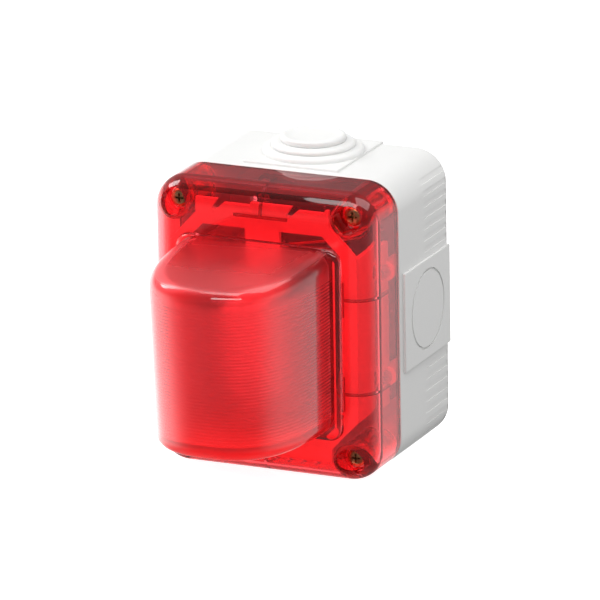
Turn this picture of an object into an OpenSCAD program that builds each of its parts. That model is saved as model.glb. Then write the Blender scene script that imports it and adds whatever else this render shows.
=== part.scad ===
// Wall-mounted horn strobe: a grey back box, a clear red cover with a deep
// ribbed flash lens, a white hood behind the cover, a piezo horn, a xenon flash
// tube and the circuit board that drives both.
// Frame: origin at the centre of the back (wall) face, +Z up, the lens towards -Y.

/* [Back box] */
// Width of the box, left to right
box_w = 97; // [96:0.5:104]
// Height of the box
box_h = 120; // [118:0.5:126]
// Depth of the box, from the wall to its front rim
box_d = 49.5; // [49:0.25:52]
// Radius of the four long corners
corner_r = 13; // [12:0.5:14]
// Wall thickness of the box and the cover
wall = 2.5; // [2:0.25:3]
// Height of the raised entry panels
panel_h = 1; // [0.5:0.25:1.5]
// Width of a raised entry panel
panel_w = 41.4; // [40:0.2:44]
// Radius of the knock-out ring on a panel
knockout_r = 16.7; // [16:0.1:17]
// Distance of the entries from the wall
entry_y = 23; // [22:0.5:25]

/* [Cover] */
// Depth of the gasket line between box and cover
gasket_t = 1; // [0.6:0.1:1.2]
// Distance from the wall to the cover's flat face
face_d = 78; // [76:0.5:82]
// Rounding of the cover's front edge
edge_r = 11; // [6:0.5:11.5]
// Screw positions, left and right of the centre
screw_x = 37.8; // [37:0.1:38]
// Screw positions, above and below the centre
screw_z = 50.3; // [50:0.1:50.6]
// Radius of the screw wells
well_r = 5.7; // [5.2:0.1:6]

/* [Lens] */
// Width of the lens at its root
lens_w = 66; // [58:1:68]
// How far the lens stands out of the face, at its top
lens_reach = 63; // [56:0.5:70]
// How much less it stands out at its bottom
lens_taper = 6; // [0:0.5:7]
// Height of the lens top above the centre
lens_top = 38.4; // [34:0.2:39.6]
// How much the lens top slopes down to its front
lens_slope = 2.6; // [0:0.2:4]
// Depth of the lens bottom below the centre
lens_bottom = 36.8; // [34:0.2:38]
// Squareness of the lens outline seen from above (2 is an ellipse)
lens_power = 2.8; // [2:0.1:4]
// Rounding of the lens top edge
lens_top_r = 6; // [4:0.5:9]
// Rounding of the lens bottom edge
lens_bottom_r = 5; // [3:0.5:9]
// Wall thickness of the lens
lens_wall = 2.6; // [2:0.2:3]

/* [Travel] */
// How far a loosened cover screw comes forward
screw_travel = 7; // [6:0.5:7]

/* [Hidden] */

$fn = 48;
gap = 0.05;            // running clearance of a shaft in its hole
over = 1;              // how far a cutter runs past the face it opens
level = 0.1;           // thickness of one level of a rounded form

// Colours
grey_plastic = [0.90, 0.90, 0.89];
clear_red = [0.88, 0.10, 0.14, 0.55];
white_plastic = [0.93, 0.93, 0.90];
black_plastic = [0.09, 0.09, 0.10];
brass = [0.78, 0.62, 0.32];
steel = [0.72, 0.72, 0.72];

// Box and cover
cover_d = box_d + gasket_t;              // rear rim of the cover
inner_w = box_w - 2 * wall;
inner_h = box_h - 2 * wall;
inner_r = corner_r - wall;
boss_r = 7;
insert_r = 2.8;
insert_l = 8;
thread_r = 2;
gland_flange_r = 20.7;
gland_neck_r = 16.2;
fixing_x = 34;                           // wall-fixing holes
fixing_z = 34;
fixing_r = 2.6;
groove_w = 0.9;                          // knock-out groove
groove_d = 0.8;
seal_w = 1.2;                            // tongue of the gasket in the rim
seal_d = 1.4;

// Cover screws
well_floor = face_d - 11;                // seat of the washers
washer_t = 0.8;
washer_r = 4.6;
head_r = 3.9;
head_h = 3;
screw_tip = box_d - screw_travel;        // nearest point to the wall

// Lens
lens_a = lens_w / 2;
plinth_h = 2.6;
plinth_w = 72;
plinth_top = 38.8;
plinth_bottom = 41.5;
plinth_r = 6;

// Hood
hood_front = face_d - wall - 2;
hood_t = 2;
hood_x = 40.6;
hood_z = 52.4;
hood_ear_x = 29;
window_x = 31;
window_z = 42;
window_cut = 5;
bar_w = 15;
notch_z = 48.8;                          // foot of the slanted end of a notch
hood_foot = 46;                          // height of the posts that carry the hood
hood_post_x = 40;
hood_post_z = 22;

// Circuit board
board_w = 58;
board_h = 88;
board_back = 12;
board_t = 1.6;
board_face = board_back + board_t;
board_post_x = 25;
board_post_z = 40;

// Terminal block: four poles
pole_pitch = 5.08;
poles = 4;
block_z0 = 25;
block_h = 9;
block_d = 11;
terminal_r = 1.5;

// Horn
horn_z = 0;
horn_r = 23;
horn_back = 34;
horn_front = 60;

// Lamp
tube_y = hood_front + 17;
tube_r = 2.2;
tube_l = 40;

// ---------- shared shapes ----------

// A flat profile drawn in X and Z, made thick from y = -back towards the front
module slab(back, thick) {
    translate([0, -back, 0])
        rotate([90, 0, 0])
            linear_extrude(thick)
                children();
}

// A round bar along Y, from y = -back towards the front
module bar_y(x, z, back, length, r) {
    translate([x, -back, z])
        rotate([90, 0, 0])
            cylinder(h = length, r = r);
}

// A block given by its low corner in X and Z, its back and its size
module block(x, z, back, w, h, d) {
    translate([x, -back - d, z])
        cube([w, d, h]);
}

module rounded(w, h, r) {
    square([w - 2 * r, h], center = true);
    square([w, h - 2 * r], center = true);
    for (sx = [-1, 1])
        for (sz = [-1, 1])
            translate([sx * (w / 2 - r), sz * (h / 2 - r)])
                circle(r);
}

module at_corners(x, z) {
    for (sx = [-1, 1])
        for (sz = [-1, 1])
            translate([sx * x, 0, sz * z])
                children();
}

// A wire through a list of points: rings of eight corners, each square to the run
function unit(v) = v / norm(v);
function run_at(points, i) =
    unit(points[min(i + 1, len(points) - 1)] - points[max(i - 1, 0)]);

module wire(points, r) {
    sides = 8;
    count = len(points);
    rings = [
        for (i = [0 : count - 1])
            let (along = run_at(points, i), across = unit(cross(along, [1, 0.2, 0])))
            let (up = cross(along, across))
                for (k = [0 : sides - 1])
                    points[i] + r * (cos(360 * k / sides) * across + sin(360 * k / sides) * up)
    ];
    walls = [
        for (i = [0 : count - 2])
            for (k = [0 : sides - 1])
                let (a = i * sides + k, b = i * sides + (k + 1) % sides)
                    each [[a, b + sides, b], [a, a + sides, b + sides]]
    ];
    ends = [
        [for (k = [0 : sides - 1]) k],
        [for (k = [sides - 1 : -1 : 0]) (count - 1) * sides + k]
    ];
    polyhedron(rings, concat(walls, ends));
}

// A pan-head screw pointing at the wall, its head's underside at y = -seat
module small_screw(x, z, seat, length, shank_r, cap_r, cap_h) {
    difference() {
        union() {
            bar_y(x, z, seat - length, length + 0.2, shank_r);
            bar_y(x, z, seat, cap_h, cap_r);
        }
        cross_recess(x, z, seat + cap_h, cap_r);
    }
}

// Crossed slots in a screw head whose front is at y = -front
module cross_recess(x, z, front, cap_r) {
    for (turn = [0, 90])
        translate([x, -front, z])
            rotate([0, turn, 0])
                cube([1.25 * cap_r, 2.4, 0.24 * cap_r], center = true);
}

// ---------- back box and what is fixed to its wall ----------

module entry_panels() {
    side_l = box_d - 3.5;
    for (sx = [-1, 1])
        translate([sx * (box_w / 2 + panel_h / 2 - 1), -side_l / 2, 0])
            cube([panel_h + 2, side_l, panel_w], center = true);
    for (sz = [-1, 1])
        translate([0, -side_l / 2, sz * (box_h / 2 + panel_h / 2 - 1)])
            cube([panel_w, side_l, panel_h + 2], center = true);
}

module ring_groove() {
    difference() {
        cylinder(h = groove_d + over, r = knockout_r);
        translate([0, 0, -over])
            cylinder(h = groove_d + 3 * over, r = knockout_r - groove_w);
    }
}

module knockout_grooves() {
    for (sx = [-1, 1])
        translate([sx * (box_w / 2 + panel_h - groove_d), -entry_y, 0])
            rotate([0, sx * 90, 0])
                ring_groove();
    translate([0, -entry_y, -(box_h / 2 + panel_h - groove_d)])
        rotate([180, 0, 0])
            ring_groove();
}

module back_box() {
    color(grey_plastic)
    difference() {
        union() {
            difference() {
                union() {
                    slab(0, box_d) rounded(box_w, box_h, corner_r);
                    entry_panels();
                }
                slab(wall, box_d) rounded(inner_w, inner_h, inner_r);
                knockout_grooves();
            }
            // corner bosses for the threaded inserts
            at_corners(screw_x, screw_z)
                bar_y(0, 0, wall - 0.5, box_d - wall + 0.5, boss_r);
            // posts for the board and for the hood
            at_corners(board_post_x, board_post_z)
                bar_y(0, 0, wall - 0.5, board_back - wall + 0.5, 3.5);
            at_corners(hood_post_x, hood_post_z)
                bar_y(0, 0, wall - 0.5, hood_foot - wall + 0.5, 3.8);
            // collars round the wall-fixing holes
            at_corners(fixing_x, fixing_z)
                bar_y(0, 0, wall - 0.5, 2, 5);
        }
        at_corners(screw_x, screw_z) {
            bar_y(0, 0, box_d - insert_l, insert_l + over, insert_r);
            bar_y(0, 0, box_d - 20, 20, thread_r + 0.3);
        }
        at_corners(board_post_x, board_post_z)
            bar_y(0, 0, 4, board_back, 1.15);
        at_corners(hood_post_x, hood_post_z)
            bar_y(0, 0, 30, hood_foot, 1.15);
        at_corners(fixing_x, fixing_z)
            bar_y(0, 0, -over, 8, fixing_r);
        // round hole for the top entry
        translate([0, -entry_y, box_h / 2 - wall - over])
            cylinder(h = wall + panel_h + 2 * over, r = gland_neck_r);
        // groove in the rim for the gasket's tongue
        slab(box_d - seal_d, seal_d + over)
            difference() {
                rounded(box_w - wall + seal_w, box_h - wall + seal_w, corner_r - (wall - seal_w) / 2);
                rounded(box_w - wall - seal_w, box_h - wall - seal_w, corner_r - (wall + seal_w) / 2);
            }
    }
}

module rim_gasket() {
    lip = 0.35;
    color([0.16, 0.14, 0.15])
    union() {
        slab(box_d, gasket_t)
            difference() {
                rounded(box_w - 2 * lip, box_h - 2 * lip, corner_r - lip);
                rounded(inner_w + 0.4, inner_h + 0.4, inner_r + 0.2);
            }
        slab(box_d - seal_d, seal_d + 0.2)
            difference() {
                rounded(box_w - wall + seal_w, box_h - wall + seal_w, corner_r - (wall - seal_w) / 2);
                rounded(box_w - wall - seal_w, box_h - wall - seal_w, corner_r - (wall + seal_w) / 2);
            }
    }
}

// Stepped membrane: a turned profile, with three tiers that are cut to suit the cable
module top_gland() {
    top = box_h / 2 + panel_h;
    inner = box_h / 2 - wall;
    color([0.88, 0.88, 0.87])
    translate([0, -entry_y, 0])
        rotate_extrude($fn = 96)
            polygon([
                [0, top + 6.4], [9.5, top + 6.4], [11, top + 7.2], [12.4, top + 7.2],
                [13.3, top + 6.4], [13.3, top + 5], [12.9, top + 4.5], [16.2, top + 4.5],
                [17.15, top + 3.7], [17.15, top + 2.7], [16.8, top + 2.3], [19.6, top + 2.3],
                [gland_flange_r, top + 1.3], [gland_flange_r, top],
                [gland_neck_r, top], [gland_neck_r, inner],
                [18, inner], [18, inner - 1.2], [15.2, inner - 2.6], [14, inner - 2.6],
                [14, top + 1], [11, top + 3], [11, top + 4.8], [0, top + 4.8]
            ]);
}

module threaded_inserts() {
    color(brass)
    at_corners(screw_x, screw_z)
        difference() {
            bar_y(0, 0, box_d - insert_l, insert_l, insert_r);
            bar_y(0, 0, box_d - insert_l - over, insert_l + 2 * over, thread_r + gap);
        }
}

// ---------- circuit board ----------

module main_board() {
    color([0.08, 0.36, 0.20])
    difference() {
        slab(board_back, board_t) rounded(board_w, board_h, 3);
        at_corners(board_post_x, board_post_z)
            bar_y(0, 0, board_back - over, board_t + 2 * over, 1.6);
    }
}

module board_screws() {
    color(steel)
    at_corners(board_post_x, board_post_z)
        small_screw(0, 0, board_face, 6, 1.1, 2.7, 1.9);
}

function pole_x(i) = (i - (poles + 1) / 2) * pole_pitch;

module terminal_block() {
    w = poles * pole_pitch + 1;
    color([0.14, 0.42, 0.24])
    difference() {
        block(-w / 2, block_z0, board_face, w, block_h, block_d);
        for (i = [1 : poles]) {
            // chamber of the cage, its wire mouth above and its screw shaft in front
            block(pole_x(i) - 1.9, block_z0 + 2, board_face + 1, 3.8, 5, 7.2);
            block(pole_x(i) - 1.5, block_z0 + 6, board_face + 2.6, 3, 4, 3);
            bar_y(pole_x(i), block_z0 + 4.5, board_face + 7, 5, terminal_r + 0.4);
        }
    }
}

module terminal_screw(i) {
    head = board_face + block_d - 0.4;
    color(steel)
    difference() {
        union() {
            bar_y(pole_x(i), block_z0 + 4.5, board_face + 6.2, 3.4, 0.95);
            bar_y(pole_x(i), block_z0 + 4.5, board_face + 8.6, head - board_face - 8.6, terminal_r);
        }
        translate([pole_x(i), -head, block_z0 + 4.5])
            cube([2.6, 1.2, 0.5], center = true);
    }
}

module terminal_cage(i) {
    color(brass)
    difference() {
        block(pole_x(i) - 1.8, block_z0 + 2.1, board_face + 1.1, 3.6, 4.8, 5.4);
        block(pole_x(i) - 1.2, block_z0 + 1, board_face + 1.9, 2.4, 7, 3.6);
        bar_y(pole_x(i), block_z0 + 4.5, board_face + 5, 3, 0.95 + gap);
    }
}

dip_x = -17;
dip_z = 8;
dip_pitch = 2.54;
dip_d = 4.6;

function dip_slot_x(i) = dip_x + (i - 2.5) * dip_pitch;

module dip_switch() {
    color([0.75, 0.10, 0.10])
    difference() {
        block(dip_x - 6, dip_z - 4.5, board_face, 12, 9, dip_d);
        for (i = [1 : 4])
            block(dip_slot_x(i) - 0.75, dip_z - 2, board_face + 2.4, 1.5, 4, 4);
    }
}

module dip_slider(i) {
    color("white")
    union() {
        block(dip_slot_x(i) - 0.68, dip_z - 1.9, board_face + 2.45, 1.36, 2.2, 1.6);
        block(dip_slot_x(i) - 0.5, dip_z - 1.5, board_face + 4, 1, 1.2, 1.3);
    }
}

trim_x = 17;
trim_z = 8;
trim_r = 2.6;

module trimmer_case() {
    color([0.16, 0.32, 0.62])
    difference() {
        block(trim_x - 4, trim_z - 4, board_face, 8, 8, 4);
        bar_y(trim_x, trim_z, board_face + 1.4, 4, trim_r + gap);
    }
}

module trimmer_rotor() {
    color("white")
    difference() {
        bar_y(trim_x, trim_z, board_face + 1.5, 3, trim_r);
        translate([trim_x, -(board_face + 4.5), trim_z])
            cube([4, 1.6, 0.8], center = true);
    }
}

module capacitor() {
    r = 6;
    color([0.12, 0.14, 0.22])
    translate([-19, -(board_face + r), -34])
        rotate_extrude()
            polygon([
                [0, 0], [r, 0], [r, 22.5], [r - 0.5, 23], [r - 0.5, 23.8], [r, 24.3], [r, 27], [0, 27]
            ]);
}

module trigger_coil() {
    color([0.80, 0.70, 0.15])
    union() {
        block(10, -13, board_face, 14, 3, 9);
        block(10, -25, board_face, 14, 3, 9);
        translate([17, -(board_face + 4.5), -22.5])
            cylinder(h = 10, r = 4);
    }
}

module choke() {
    color([0.60, 0.32, 0.14])
    translate([17, -(board_face + 3), -34])
        rotate([90, 0, 0])
            rotate_extrude()
                translate([4.5, 0])
                    circle(2.8);
}

module control_chip() {
    color(black_plastic)
    union() {
        block(-5, -12, board_face + 0.4, 10, 8, 2.4);
        for (sx = [-1, 1])
            for (i = [0 : 5])
                block(sx * 5.6 - 0.6, -11.3 + 1.27 * i, board_face, 1.2, 0.5, 1.2);
    }
}

// ---------- hood ----------

module hood_outline() {
    polygon([
        [hood_x, -34], [hood_x, 34], [hood_ear_x, 46.8], [hood_ear_x, hood_z],
        [-hood_ear_x, hood_z], [-hood_ear_x, 46.8], [-hood_x, 34], [-hood_x, -34],
        [-hood_ear_x, -46.8], [-hood_ear_x, -hood_z], [hood_ear_x, -hood_z], [hood_ear_x, -46.8]
    ]);
}

module window_outline() {
    difference() {
        polygon([
            [window_x, window_cut - window_z], [window_x, window_z - window_cut],
            [window_x - window_cut, window_z], [window_cut - window_x, window_z],
            [-window_x, window_z - window_cut], [-window_x, window_cut - window_z],
            [window_cut - window_x, -window_z], [window_x - window_cut, -window_z]
        ]);
        square([bar_w, 2 * window_z + 2], center = true);
    }
}

module carrier_hood() {
    skirt = 2;
    color(white_plastic)
    difference() {
        union() {
            slab(hood_front - hood_t, hood_t)
                difference() {
                    hood_outline();
                    window_outline();
                    // notches in the top edge, each with a slanted left end
                    for (x = [-22, 10.4])
                        translate([x, notch_z])
                            polygon([[0, 0], [1.6, -0.6], [5.2, 2.4], [17, 2.4], [17, 6], [4.4, 6]]);
                }
            // side skirts that stand on the posts of the box
            for (sx = [-1, 1])
                translate([sx * (hood_x - skirt / 2), -(hood_foot + hood_front) / 2, 0])
                    cube([skirt, hood_front - hood_foot, 68], center = true);
            at_corners(hood_post_x, hood_post_z)
                bar_y(0, 0, hood_foot, 2, 4.2);
            // sockets for the horn's screws, behind the central bar
            for (sz = [-1, 1])
                bar_y(0, horn_z + sz * 27, horn_front - 4, hood_front - horn_front + 3, 3.5);
        }
        // screw holes through the feet, with room for the heads beside the skirts
        at_corners(hood_post_x, hood_post_z) {
            bar_y(0, 0, hood_foot - over, 4, 1.6);
            bar_y(0, 0, hood_foot + 2, 6, 3.2);
        }
        for (sz = [-1, 1])
            bar_y(0, horn_z + sz * 27, horn_front - 5, 8, 1.15);
        // passages for the leads of the flash tube, above and below the lamp base
        for (sz = [-1, 1])
            bar_y(0, sz * 31.6, hood_front - hood_t - over, hood_t + 3, 0.9);
    }
}

module hood_screws() {
    color(steel)
    at_corners(hood_post_x, hood_post_z)
        small_screw(0, 0, hood_foot + 2, 8, 1.1, 2.7, 1.9);
}

// ---------- horn ----------

module sounder_case() {
    color(black_plastic)
    translate([0, 0, horn_z])
    difference() {
        union() {
            translate([0, -horn_back, 0])
                rotate([90, 0, 0])
                    rotate_extrude()
                        polygon([
                            [0, 0], [19, 0], [horn_r - 2, 2], [horn_r - 2, 18], [horn_r, 20],
                            [horn_r, 26], [20.5, 26], [12, 16], [5, 12.5], [5, 9], [18.5, 9],
                            [18.5, 4], [17, 4], [17, 2], [0, 2]
                        ]);
            for (sz = [-1, 1])
                bar_y(0, sz * 27, horn_front - 7, 3, 4);
            translate([0, -horn_front + 5.5, 0])
                cube([8, 3, 54], center = true);
        }
        for (sz = [-1, 1])
            bar_y(0, sz * 27, horn_front - 9, 8, 1.4);
        // keep the mouth open where the mounting strap crosses it
        translate([0, -horn_front + 12, 0])
            rotate([90, 0, 0])
                cylinder(h = 13.2, r1 = 9.5, r2 = 20.4);
    }
}

module sounder_disc() {
    color(brass)
    union() {
        bar_y(0, horn_z, horn_back + 4.1, 0.4, 18.3);
        bar_y(0, horn_z, horn_back + 4.5, 0.3, 12);
    }
}

module sounder_ring() {
    color([0.25, 0.25, 0.26])
    difference() {
        bar_y(0, horn_z, horn_back + 4.6, 2, 18.3);
        bar_y(0, horn_z, horn_back + 4, 4, 15.5);
    }
}

module sounder_screws() {
    color(steel)
    for (sz = [-1, 1])
        translate([0, -(horn_front - 7), horn_z + sz * 27])
            rotate([180, 0, 0])
                translate([0, horn_front - 7, 0])
                    small_screw(0, 0, horn_front - 7, 8, 1.1, 2.7, 1.9);
}

// ---------- lamp ----------

module lamp_base() {
    color(white_plastic)
    union() {
        slab(hood_front, 2) rounded(13, 60, 3);
        for (sz = [-1, 1])
            difference() {
                block(-4, sz * 24 - 2.5, hood_front + 1.5, 8, 5, 18.5);
                bar_hole(sz);
            }
    }
}

// Seat of a tube cap in one arm of the lamp base
module bar_hole(sz) {
    translate([0, -tube_y, sz * 24 - 4])
        cylinder(h = 8, r = tube_r + 0.6);
}

module lamp_reflector() {
    r = 11;
    color([0.92, 0.92, 0.94])
    translate([0, -tube_y + 3, 0])
        linear_extrude(40, center = true)
            difference() {
                circle(r);
                circle(r - 0.8);
                translate([-r - 1, -r - 1])
                    square([2 * r + 2, r + 1]);
            }
}

module flash_tube() {
    color([0.9, 0.95, 1.0, 0.6])
    translate([0, -tube_y, -tube_l / 2])
        difference() {
            cylinder(h = tube_l, r = tube_r);
            translate([0, 0, 1])
                cylinder(h = tube_l - 2, r = tube_r - 0.6);
        }
}

module tube_caps() {
    color(steel)
    for (sz = [-1, 1])
        translate([0, -tube_y, sz * (tube_l / 2 + 3)])
            cylinder(h = 6, r = tube_r + 0.6, center = true);
}

module tube_leads() {
    color([0.75, 0.08, 0.08])
    for (sz = [-1, 1])
        wire([
            [0, -tube_y, sz * 26], [0, 0.4 - tube_y, sz * 27.5], [0, 4 - tube_y, sz * 31],
            [0, -hood_front + 6, sz * 31.6], [6, -horn_front, sz * 33],
            [24, -30, sz * 29], [24.5, -18, sz * 28], [24.5, -board_face, sz * 28]
        ], 0.55);
}

module sounder_leads() {
    color([0.12, 0.12, 0.12])
    for (sx = [-1, 1])
        wire([
            [sx * 3, -horn_back, horn_z - 8], [sx * 3, -horn_back + 6, horn_z - 9],
            [sx * 3, -22, horn_z - 18], [sx * 3, -18, horn_z - 20],
            [sx * 3, -board_face, horn_z - 20]
        ], 0.6);
}

// ---------- cover ----------

// Rounded box between two depths, with its front edge rounded by e
module shell_form(w, h, back, front, r, e) {
    steps = 5;
    hull() {
        slab(back, 0.5) rounded(w, h, r, $fn = 36);
        for (i = [0 : steps]) {
            turn = 90 * i / steps;
            cut = e * (1 - cos(turn));
            slab(front - e + e * sin(turn) - level, level)
                rounded(w - 2 * cut, h - 2 * cut, r - cut, $fn = 36);
        }
    }
}

// Distance of the lens outline from the middle of its root, at an angle from +X
function lens_reach_at(turn, a, b) =
    pow(pow(abs(cos(turn)) / a, lens_power) + pow(abs(sin(turn)) / b, lens_power), -1 / lens_power);

function lens_outline(a, b) =
    [for (turn = [0 : 5 : 180]) lens_reach_at(turn, a, b) * [cos(turn), -sin(turn)]];

// One thin level of the lens at height z, drawn in by cut all round and leaning by slope
module lens_level(z, cut, thin, slope) {
    drop = (lens_top - z) / (lens_top + lens_bottom);
    reach = lens_reach - lens_taper * drop;
    translate([0, -face_d, z])
        multmatrix([[1, 0, 0, 0], [0, 1, 0, 0], [0, slope / lens_reach, 1, 0]])
            linear_extrude(level)
                polygon(lens_outline(lens_a - thin - cut, reach - thin - cut));
}

module lens_form(thin) {
    steps = 5;
    top_r = lens_top_r - thin / 2;
    bottom_r = lens_bottom_r - thin / 2;
    hull()
        for (i = [0 : steps]) {
            turn = 90 * i / steps;
            lens_level(lens_top - thin - level - top_r * (1 - cos(turn)), top_r * (1 - sin(turn)),
                       thin, lens_slope);
            lens_level(thin - lens_bottom + bottom_r * (1 - cos(turn)), bottom_r * (1 - sin(turn)),
                       thin, 0);
        }
}

// Plates of the T-shaped stiffening ribs: a cross-bar and a stem that runs down the wall
module t_plates(length, out) {
    rib = 1.1;
    back = face_d - 20;
    block(-length / 2, -rib / 2, back + 12, length, rib, 12);
    block(-rib / 2, 0, back, rib, out, 24);
}

module rib_plates() {
    top_at = 47.7;
    side_at = 35.2;
    for (turn = [0, 180])
        rotate([0, turn, 0])
            translate([0, 0, top_at])
                t_plates(23.2, 12);
    for (sx = [-1, 1])
        for (z = [17, -22.2])
            translate([sx * side_at, 0, z])
                rotate([0, sx * 90, 0])
                    t_plates(14.4, 12);
}

// The space inside the cover's box part, less the screw columns and the ribs
module cover_cavity() {
    rib_h = 0.9;
    difference() {
        shell_form(inner_w, inner_h, cover_d - 1, face_d - wall, inner_r, edge_r - wall);
        at_corners(screw_x, screw_z)
            bar_y(0, 0, cover_d - 2, face_d, well_r + 1.5);
        difference() {
            rib_plates();
            shell_form(inner_w - 2 * rib_h, inner_h - 2 * rib_h, cover_d - 2, face_d - wall - rib_h,
                       inner_r - rib_h, edge_r - wall - rib_h);
        }
    }
}

module front_cover() {
    color(clear_red)
    difference() {
        union() {
            shell_form(box_w, box_h, cover_d, face_d, corner_r, edge_r);
            translate([0, 0, (plinth_top - plinth_bottom) / 2])
                slab(face_d - 1, plinth_h + 1)
                    rounded(plinth_w, plinth_top + plinth_bottom, plinth_r);
            lens_form(0);
        }
        cover_cavity();
        lens_form(lens_wall);
        translate([0, -face_d, 0])
            cube([2 * (lens_a - lens_wall) - 1, 8, 2 * (lens_bottom - lens_wall) - 3], center = true);
        // wells, screw holes and hollow columns
        at_corners(screw_x, screw_z) {
            bar_y(0, 0, well_floor, face_d, well_r);
            bar_y(0, 0, well_floor - 3, face_d, thread_r + 0.25);
            bar_y(0, 0, cover_d - 1, well_floor - 2 - cover_d + 1, well_r - 1);
        }
        // sound slots in the underside
        for (i = [-3 : 3])
            translate([i * 6, -(cover_d + 10), -box_h / 2])
                cube([2.4, 11, 8], center = true);
    }
}

function corner_x(i) = (i == 1 || i == 3) ? -screw_x : screw_x;
function corner_z(i) = i <= 2 ? screw_z : -screw_z;

module screw_washer(i) {
    color([0.85, 0.83, 0.78])
    difference() {
        bar_y(corner_x(i), corner_z(i), well_floor, washer_t, washer_r);
        bar_y(corner_x(i), corner_z(i), well_floor - over, washer_t + 2 * over, thread_r + gap);
    }
}

module cover_screw(i) {
    seat = well_floor + washer_t + 0.02;
    color(brass)
    difference() {
        union() {
            bar_y(corner_x(i), corner_z(i), screw_tip, seat - screw_tip + 0.5, thread_r);
            bar_y(corner_x(i), corner_z(i), seat, head_h, head_r);
        }
        cross_recess(corner_x(i), corner_z(i), seat + head_h, head_r);
    }
}

back_box();
rim_gasket();
top_gland();
threaded_inserts();
main_board();
board_screws();
terminal_block();
for (i = [1 : poles]) {
    terminal_screw(i);
    terminal_cage(i);
}
dip_switch();
for (i = [1 : 4])
    dip_slider(i);
trimmer_case();
trimmer_rotor();
capacitor();
trigger_coil();
choke();
control_chip();
carrier_hood();
hood_screws();
sounder_case();
sounder_disc();
sounder_ring();
sounder_screws();
lamp_base();
lamp_reflector();
flash_tube();
tube_caps();
tube_leads();
sounder_leads();
front_cover();
for (i = [1 : 4]) {
    screw_washer(i);
    cover_screw(i);
}
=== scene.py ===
import math

import bmesh
import bpy
from mathutils import Matrix, Vector


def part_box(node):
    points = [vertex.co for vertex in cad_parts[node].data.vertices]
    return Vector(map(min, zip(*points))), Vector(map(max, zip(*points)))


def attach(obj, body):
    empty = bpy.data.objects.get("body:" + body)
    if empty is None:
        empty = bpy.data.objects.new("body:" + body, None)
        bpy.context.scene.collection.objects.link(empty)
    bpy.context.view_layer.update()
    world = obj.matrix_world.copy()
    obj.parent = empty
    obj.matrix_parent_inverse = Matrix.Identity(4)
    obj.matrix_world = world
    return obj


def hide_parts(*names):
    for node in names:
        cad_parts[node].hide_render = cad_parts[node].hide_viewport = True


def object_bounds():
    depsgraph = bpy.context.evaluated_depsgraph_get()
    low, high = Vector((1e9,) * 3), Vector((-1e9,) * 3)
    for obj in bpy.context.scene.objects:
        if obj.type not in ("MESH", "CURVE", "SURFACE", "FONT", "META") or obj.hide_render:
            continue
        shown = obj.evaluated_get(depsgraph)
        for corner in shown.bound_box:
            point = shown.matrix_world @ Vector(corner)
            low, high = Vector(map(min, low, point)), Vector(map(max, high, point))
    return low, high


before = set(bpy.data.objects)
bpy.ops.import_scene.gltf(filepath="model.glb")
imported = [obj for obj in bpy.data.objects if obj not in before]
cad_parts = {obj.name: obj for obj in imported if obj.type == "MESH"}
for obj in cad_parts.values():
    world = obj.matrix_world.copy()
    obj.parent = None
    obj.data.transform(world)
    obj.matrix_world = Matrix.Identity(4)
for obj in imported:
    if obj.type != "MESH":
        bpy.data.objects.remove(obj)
cad_low, cad_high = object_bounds()

# Finished surfaces of the horn strobe, with its studio light and camera.
# Everything is in metres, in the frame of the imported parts: +Z up, the lens towards -Y.
MM = 0.001

box_low, box_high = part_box("back_box")
cover_low, cover_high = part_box("front_cover")

# Box and cover
WALL = 2.5 * MM
PANEL_HEIGHT = 1 * MM
BOX_WIDTH = cover_high.x - cover_low.x
BOX_HEIGHT = cover_high.z - cover_low.z
BOX_DEPTH = box_high.y - box_low.y
CORNER = 13 * MM
COVER_BACK = -cover_high.y
FACE = 78 * MM
FACE_EDGE = 11 * MM

# Entries in the box
PANEL_WIDTH = 41.4 * MM
PANEL_FRONT = BOX_DEPTH - 3.5 * MM
ENTRY_DEPTH = 23 * MM
KNOCKOUT = 16.7 * MM
GLAND_HOLE = 16.2 * MM

# Screws of the cover
SCREW_X = 37.8 * MM
SCREW_Z = 50.3 * MM
WELL = 5.7 * MM
WELL_FLOOR = FACE - 11 * MM
COLUMN = WELL + 1.5 * MM
PASSAGE = 2.25 * MM

# Bosses in the box, and the holes for fixing it to the wall
BOARD_BOSS_X, BOARD_BOSS_Z = 25 * MM, 40 * MM
HOOD_BOSS_X, HOOD_BOSS_Z = 40 * MM, 22 * MM
FIXING_X = FIXING_Z = 34 * MM
PILOT = 1.15 * MM

# Fine ribs on the rear corners of the box: the grooves between them
GROOVE_FIRST = 24.5 * MM
GROOVE_PITCH = 4.7 * MM
GROOVE_HEIGHT = 2.3 * MM
GROOVE_DEPTH = 0.25 * MM
GROOVES = 7

# T-shaped stiffeners inside the cover: two level bars, and two upright bars on each side
STIFFENER = 1.1 * MM
LEVEL_BAR_Z = 47.7 * MM
LEVEL_BAR_LENGTH = 23.2 * MM
SIDE_BAR_X = 35.2 * MM
SIDE_BAR_LENGTH = 14.4 * MM
SIDE_BARS_Z = (17 * MM, -22.2 * MM)

# Sound slots in the underside of the cover
SLOT_PITCH = 6 * MM
SLOT_HALF = 1.2 * MM
SLOTS_EACH_SIDE = 3

# Lens
LENS_HALF = 33 * MM
LENS_REACH = -cover_low.y - FACE
LENS_TAPER = 6 * MM
LENS_TOP = 38.4 * MM
LENS_SLOPE = 2.6 * MM
LENS_BOTTOM = 36.8 * MM
LENS_POWER = 2.8
LENS_WALL = 2.6 * MM
LENS_TOP_EDGE = 6 * MM
LENS_BOTTOM_EDGE = 5 * MM
RIB_PITCH = 1.4 * MM
RIB_DEPTH = 0.12 * MM
RIB_LOW = -30.5 * MM
RIB_HIGH = 26.5 * MM

# Raised field round the foot of the lens
PLINTH_WIDTH = 72 * MM
PLINTH_TOP = 38.8 * MM
PLINTH_BOTTOM = 41.5 * MM
PLINTH_FRONT = FACE + 2.6 * MM
PLINTH_CORNER = 6 * MM
PLINTH_EDGE = 2.4 * MM

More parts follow.
